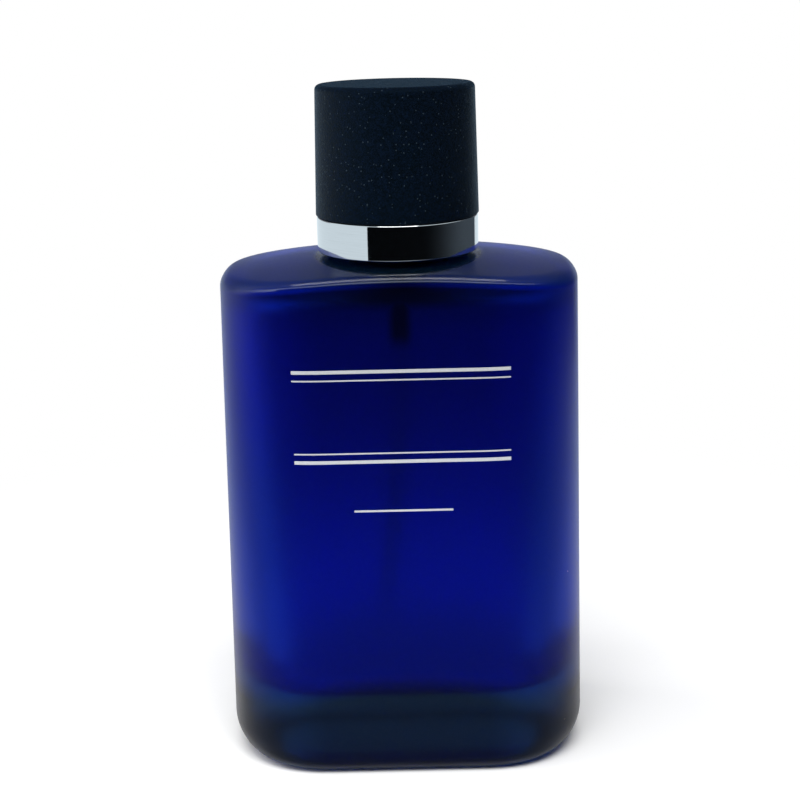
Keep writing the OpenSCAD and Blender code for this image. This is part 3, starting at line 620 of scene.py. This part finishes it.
def drawCollar():
    r, t, step = collar["radius"], collar["metal"], collar["step"]
    plug, top, hole = collar["plugRadius"], collar["plugTop"], collar["hole"]
    points = [(r - t, collar["low"]), (r, collar["low"]), (r, step), (plug, step), (plug, top), (hole, top),
              (hole, top - t), (plug - t, top - t), (plug - t, step - t), (r - t, step - t)]
    return turned(points, {1: collar["lowEdge"], 2: collar["edge"], 4: collar["edge"], 5: collar["holeEdge"]})


finishPiece(drawCollar(), "collarRing", "flask", [polishedChrome], ["collar_ring"],
            evenNormals=True)

capShell = {"lowRadius": 14.35, "topRadius": 13.85, "low": 99.1, "top": 121.7, "wall": 1.2, "roof": 1.6,
            "topEdge": 0.9, "lowEdge": 0.2}


def drawCap():
    low, top, wall = capShell["low"], capShell["top"], capShell["wall"]
    foot, crown, roof = capShell["lowRadius"], capShell["topRadius"], top - capShell["roof"]
    points = [(0, top), (0, roof), (crown - wall, roof), (foot - wall, low), (foot, low), (crown, top)]
    return turned(points, {4: capShell["lowEdge"], 5: capShell["topEdge"]}, segments=6)


finishPiece(drawCap(), "capShell", "cap", [softTouchBlack], ["cap_shell"], evenNormals=True)
print("collar and cap drawn")


# pump springs, drawn at rest: each would shorten toward its fixed end as its joint moves, but nothing here
# moves them

springSteel = plainFinish("springSteel", (0.6, 0.61, 0.63), 0.25, metallic=1.0, grainSize=0.3)
springs = {
    "returnCoil": {"low": 82.6, "height": 6.45, "radius": 2.2, "wire": 0.225, "coils": 5.5, "body": "flask",
                   "node": "return_spring", "joint": "pump_stroke", "fixedEnd": 82.6, "travel": 3.4},
    "stemCoil": {"low": 92.2, "height": 1.6, "radius": 1.8, "wire": 0.15, "coils": 3.4, "body": "stem",
                 "node": "stem_spring", "joint": "port_opening", "fixedEnd": 93.8, "travel": 0.4}}


def springRings(spring, perTurn=24, sides=12):
    closed, coils, wire = 2.2 * spring["wire"], spring["coils"], spring["wire"]
    pitch = (spring["height"] - 2 * wire - 2 * closed) / (coils - 2)
    rings = []
    steps = math.ceil(coils * perTurn)
    for i in range(steps + 1):
        turn = coils * i / steps
        rise = (min(turn, 1) * closed + max(0, min(turn, coils - 1) - 1) * pitch
                + max(0, turn - coils + 1) * closed)
        ring = []
        for k in range(sides):
            around = 2 * math.pi * k / sides
            r, angle = spring["radius"] + wire * math.cos(around), 2 * math.pi * turn
            ring.append((r * math.cos(angle), r * math.sin(angle),
                         spring["low"] + wire + rise - wire * math.sin(around)))
        rings.append(ring)
    return rings


def drawSpring(spring):
    bm, rings = bmesh.new(), springRings(spring)
    bmesh.ops.create_circle(bm, cap_ends=True, radius=1, segments=len(rings[0]))
    bm.verts.ensure_lookup_table()
    ring = bm.verts[:]
    for vert, spot in zip(ring, rings[0]):
        vert.co = spot
    for spots in rings[1:]:
        ring = addRing(bm, ring, spots, 0)
    bm.faces.new(ring)
    return bm


for springName, spring in springs.items():
    coil = finishPiece(drawSpring(spring), springName, spring["body"], [springSteel], [spring["node"]])
    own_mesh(coil)
print("springs drawn")


# finishes of the CAD nodes that stay

def dressNodes():
    black = plainFinish("mouldedBlack", (0.02, 0.02, 0.023), 0.5, grainSize=0.5)
    natural = plainFinish("naturalPlastic", (0.75, 0.76, 0.76), 0.35, grainSize=0.8, tone=0.08)
    milky = plainFinish("milkyTube", (0.7, 0.74, 0.78), 0.3, grainSize=0.8, tone=0.08,
                        extra={"Transmission Weight": 0.5})
    rubber = plainFinish("gasketRubber", (0.06, 0.06, 0.06), 0.8, grainSize=0.3)
    aluminium = plainFinish("brightAluminium", (0.8, 0.81, 0.83), 0.22, metallic=1.0, grainSize=0.6,
                            tone=0.08)
    finishes = {
        "neck_gasket": rubber, "stem_gasket": rubber,
        "crimp_ferrule": aluminium, "actuator_sleeve": aluminium,
        "pump_housing": natural, "pump_turret": natural, "pump_piston": natural, "nozzle_insert": natural,
        "pump_stem": natural, "valve_needle": natural, "dip_tube": milky, "inlet_ball": springSteel,
        "cap_weight": springSteel, "collar_insert": black,
        "actuator": black, "cap_liner": black}
    for name, material in finishes.items():
        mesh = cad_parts[name].data
        mesh.materials.clear()
        mesh.materials.append(material)


dressNodes()
print("nodes dressed")


# stage

def addLamp(name, place, aim, size, power, reflected):
    data = bpy.data.lights.new(name, "AREA")
    data.shape = "RECTANGLE"
    data.size, data.size_y = size
    data.energy = power
    lamp = bpy.data.objects.new(name, data)
    scene.collection.objects.link(lamp)
    lamp.location = place
    lamp.rotation_euler = (Vector(aim) - Vector(place)).to_track_quat("-Z", "Y").to_euler()
    lamp.visible_camera = False
    lamp.visible_glossy = reflected


studio = {"ambient": 0.75, "reflected": (0.8, 0.93, 1.0)}
ground = {"radius": 2500, "color": (0.85, 0.85, 0.85, 1), "roughness": 0.9, "shadowReach": (0.04, 0.19)}


def seeingRays(tree):
    paths = addNode(tree, "ShaderNodeLightPath")
    mirrored = mathNode(tree, "MAXIMUM", paths.outputs["Is Glossy Ray"], paths.outputs["Is Transmission Ray"])
    return mathNode(tree, "MAXIMUM", paths.outputs["Is Camera Ray"], mirrored)


def groundColor(tree):
    paths = addNode(tree, "ShaderNodeLightPath")
    return mixColors(tree, paths.outputs["Is Glossy Ray"], (1.0, 1.0, 1.0), studio["reflected"])


def addFloor():
    bm = bmesh.new()
    bmesh.ops.create_circle(bm, cap_ends=True, radius=ground["radius"], segments=96)
    bmesh.ops.scale(bm, vec=(mm, mm, mm), verts=bm.verts)
    mesh = bpy.data.meshes.new("floor")
    bm.to_mesh(mesh)
    bm.free()
    material, tree, shader = newMaterial("paleFloor", {
        "Roughness": ground["roughness"], "Base Color": ground["color"]})
    seen = seeingRays(tree)
    distance = addNode(tree, "ShaderNodeVectorMath", {"operation": "LENGTH"})
    tree.links.new(addNode(tree, "ShaderNodeTexCoord").outputs["Object"], distance.inputs[0])
    far = spread(tree, distance.outputs["Value"], *ground["shadowReach"], smooth=True)
    glow = addNode(tree, "ShaderNodeEmission", values={"Strength": 1.0})
    tree.links.new(groundColor(tree), glow.inputs["Color"])
    joined = addNode(tree, "ShaderNodeMixShader")
    tree.links.new(mathNode(tree, "MULTIPLY", seen, far), joined.inputs[0])
    tree.links.new(shader.outputs[0], joined.inputs[1])
    tree.links.new(glow.outputs[0], joined.inputs[2])
    output = next(n for n in tree.nodes if n.type == "OUTPUT_MATERIAL")
    tree.links.new(joined.outputs[0], output.inputs["Surface"])
    mesh.materials.append(material)
    floor = bpy.data.objects.new("floor", mesh)
    scene.collection.objects.link(floor)


def addWorld():
    world = bpy.data.worlds.new("studio")
    scene.world = world
    world.use_nodes = True
    tree = world.node_tree
    background = next(n for n in tree.nodes if n.type == "BACKGROUND")
    tree.links.new(groundColor(tree), background.inputs["Color"])
    seen = seeingRays(tree)
    tree.links.new(spread(tree, seen, 0, 1, studio["ambient"], 1.0), background.inputs["Strength"])


cards = {"front": {"radius": 0.31, "low": 0.001, "high": 0.26, "from": -42.5, "to": 140,
                   "dark": (0.003, 0.004, 0.005), "pale": (0.05, 0.065, 0.08), "fade": (-0.26, 0.1)},
         "back": {"radius": 0.36, "low": 0.13, "high": 0.5, "from": 110, "to": 250,
                  "dark": (0.2, 0.21, 0.23), "pale": (0.2, 0.21, 0.23), "fade": (0, 1)}}


def addCard(name, card, steps=48):
    bm = bmesh.new()
    bmesh.ops.create_vert(bm, co=(0, -card["radius"], card["low"]))
    bmesh.ops.rotate(bm, verts=bm.verts, matrix=Matrix.Rotation(math.radians(card["from"]), 3, "Z"))
    bmesh.ops.spin(bm, geom=bm.verts[:], axis=(0, 0, 1), steps=steps,
                   angle=math.radians(card["to"] - card["from"]))
    made = bmesh.ops.extrude_edge_only(bm, edges=bm.edges[:])["geom"]
    bmesh.ops.translate(bm, vec=(0, 0, card["high"] - card["low"]),
                        verts=[v for v in made if isinstance(v, bmesh.types.BMVert)])
    mesh = bpy.data.meshes.new(name)
    bm.to_mesh(mesh)
    bm.free()
    material, tree, shader = newMaterial(name, {"Roughness": 1.0, "Specular IOR Level": 0.0})
    share = spread(tree, objectPlace(tree).outputs["Y"], *card["fade"], smooth=True)
    tree.links.new(mixColors(tree, share, card["dark"], card["pale"]), shader.inputs["Base Color"])
    mesh.materials.append(material)
    piece = bpy.data.objects.new(name, mesh)
    scene.collection.objects.link(piece)
    piece.visible_camera = False


lamps = {"topBox": {"place": (0, -0.35, 0.9), "aim": (0, 0, 0.06), "size": (0.7, 0.5), "power": 9,
                    "reflected": True},
         "leftBox": {"place": (-0.8, 0.0, 0.4), "aim": (0, 0, 0.07), "size": (0.5, 0.8), "power": 4,
                     "reflected": False}}

addFloor()
addWorld()
for cardName, card in cards.items():
    addCard(cardName + "Card", card)
for lampName, lamp in lamps.items():
    addLamp(lampName, **lamp)
print("stage set")
